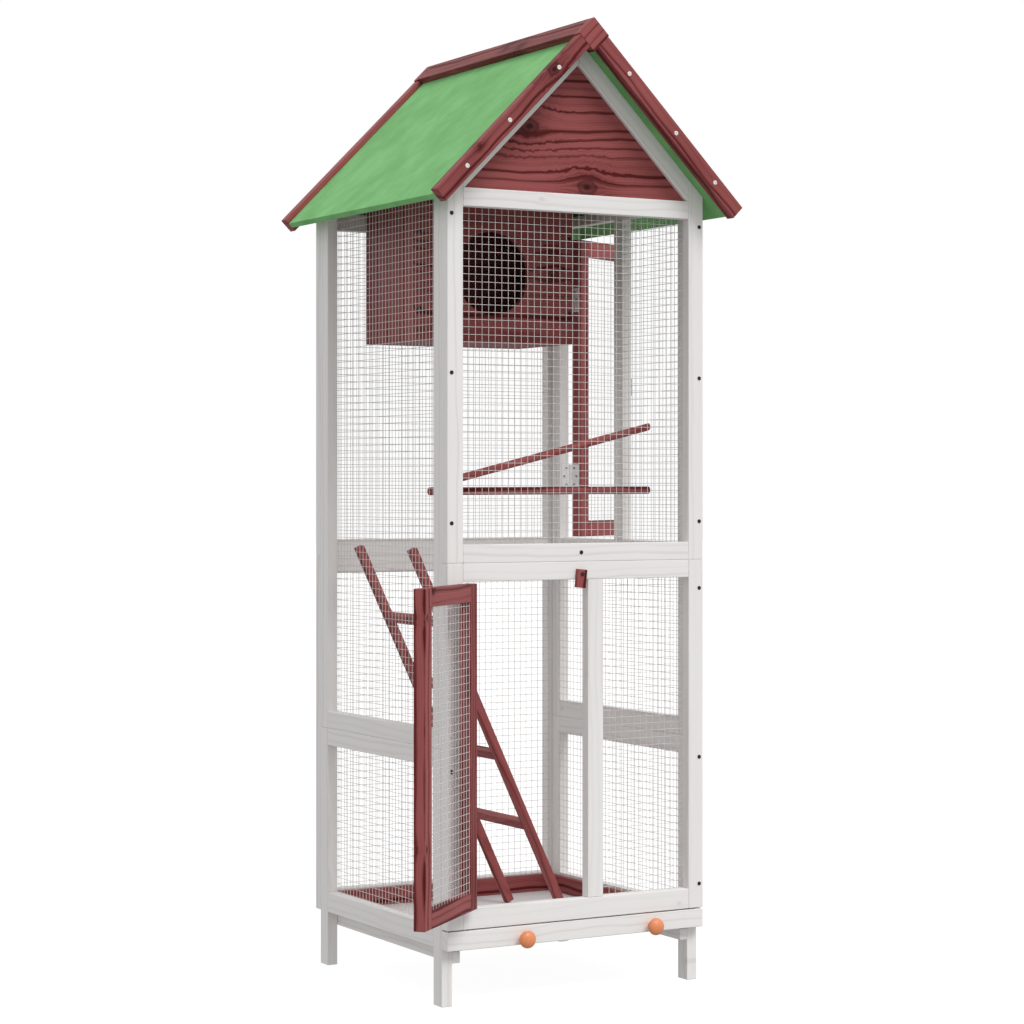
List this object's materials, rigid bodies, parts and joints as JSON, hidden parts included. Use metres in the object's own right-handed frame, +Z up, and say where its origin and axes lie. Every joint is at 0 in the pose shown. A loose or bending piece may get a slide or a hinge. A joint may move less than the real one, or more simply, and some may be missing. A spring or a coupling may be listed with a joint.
{
  "type": "bird aviary",
  "caption": "Tall wooden aviary with a pitched felt roof, wire mesh walls, two hinged doors, nest box, perches, ladder and a pull-out tray.",
  "frame": {"origin": "on the floor, under the middle of the body", "axes": "+Z up; the front with the lower door and the drawer faces -Y; the upper door is on the +X side"},
  "size_m": [0.8418, 0.7353, 1.6659],
  "materials": {
    "white_wood": "white-washed pine, matt, with a faint grain",
    "red_wood": "red-brown stained pine with darker grain and knots",
    "roof_board": "bare board",
    "roof_felt": "green mineral roofing felt, matt",
    "mesh_wire": "galvanised welded wire",
    "zinc_fitting": "zinc-plated steel",
    "screw_black": "black phosphated steel",
    "knob_orange": "orange stained turned wood",
    "tray_white": "white coated sheet"
  },
  "bodies": {
    "aviary": {"back_lower_mesh": "mesh_wire", "back_lower_rails": "white_wood", "back_lower_stiles": "white_wood", "back_upper_mesh": "mesh_wire", "back_upper_rails": "white_wood", "back_upper_stiles": "white_wood", "barge_boards": "red_wood", "barge_screws": "zinc_fitting", "drawer_runners": "white_wood", "frame_screws": "screw_black", "front_hinge_frame_leaves": "zinc_fitting", "front_lower_mesh": "mesh_wire", "front_lower_rails": "white_wood", "front_lower_stiles": "white_wood", "front_upper_mesh": "mesh_wire", "front_upper_rails": "white_wood", "front_upper_stiles": "white_wood", "gable_boards": "red_wood", "gable_rails": "white_wood", "ladder_rungs": "red_wood", "ladder_stringers": "red_wood", "latch_screws": "screw_black", "left_legs": "white_wood", "left_lower_mesh": "mesh_wire", "left_lower_rails": "white_wood", "left_upper_mesh": "mesh_wire", "left_upper_rails": "white_wood", "left_upper_stiles": "white_wood", "nest_box_back": "red_wood", "nest_box_floor_and_top": "red_wood", "nest_box_front": "red_wood", "nest_box_screws": "zinc_fitting", "nest_box_sides": "red_wood", "perches": "red_wood", "ridge_caps": "red_wood", "ridge_end_blocks": "red_wood", "right_legs": "white_wood", "right_lower_mesh": "mesh_wire", "right_lower_rails": "white_wood", "right_upper_mesh": "mesh_wire", "right_upper_rails": "white_wood", "right_upper_stiles": "white_wood", "roof_boards": "roof_board", "roof_felts": "roof_felt", "side_hinge_frame_leaves": "zinc_fitting", "skirting": "red_wood"},
    "front_door": {"front_door_hinge_leaves": "zinc_fitting", "front_door_mesh": "mesh_wire", "front_door_rails": "red_wood", "front_door_stiles": "red_wood"},
    "side_door": {"side_door_hinge_leaves": "zinc_fitting", "side_door_mesh": "mesh_wire", "side_door_rails": "red_wood", "side_door_stiles": "red_wood"},
    "front_latch": {"front_latch": "red_wood"},
    "side_latch": {"side_latch": "red_wood"},
    "drawer": {"drawer_front": "white_wood", "drawer_tray": "tray_white", "drawer_knobs": "knob_orange"}
  },
  "joints": [
    {"name": "front_door_hinge", "type": "hinge", "parent": "aviary", "child": "front_door", "pos_m": [-0.224, -0.258, 0.438], "axis": [0, 0, 1], "range_deg": [-36, 139]},
    {"name": "side_door_hinge", "type": "hinge", "parent": "aviary", "child": "side_door", "pos_m": [0.258, 0.204, 1.0575], "axis": [0, 0, 1], "range_deg": [-118.2, 21.8]},
    {"name": "front_latch_turn", "type": "hinge", "parent": "aviary", "child": "front_latch", "pos_m": [0.0025, -0.2553, 0.7205], "axis": [0, 1, 0], "range_deg": [-100, 100]},
    {"name": "side_latch_turn", "type": "hinge", "parent": "aviary", "child": "side_latch", "pos_m": [0.2553, 0.0015, 1.0602], "axis": [1, 0, 0], "range_deg": [-100, 100]},
    {"name": "drawer_slide", "type": "slide", "parent": "aviary", "child": "drawer", "axis": [0, -1, 0], "range_m": [0, 0.4]}
  ]
}
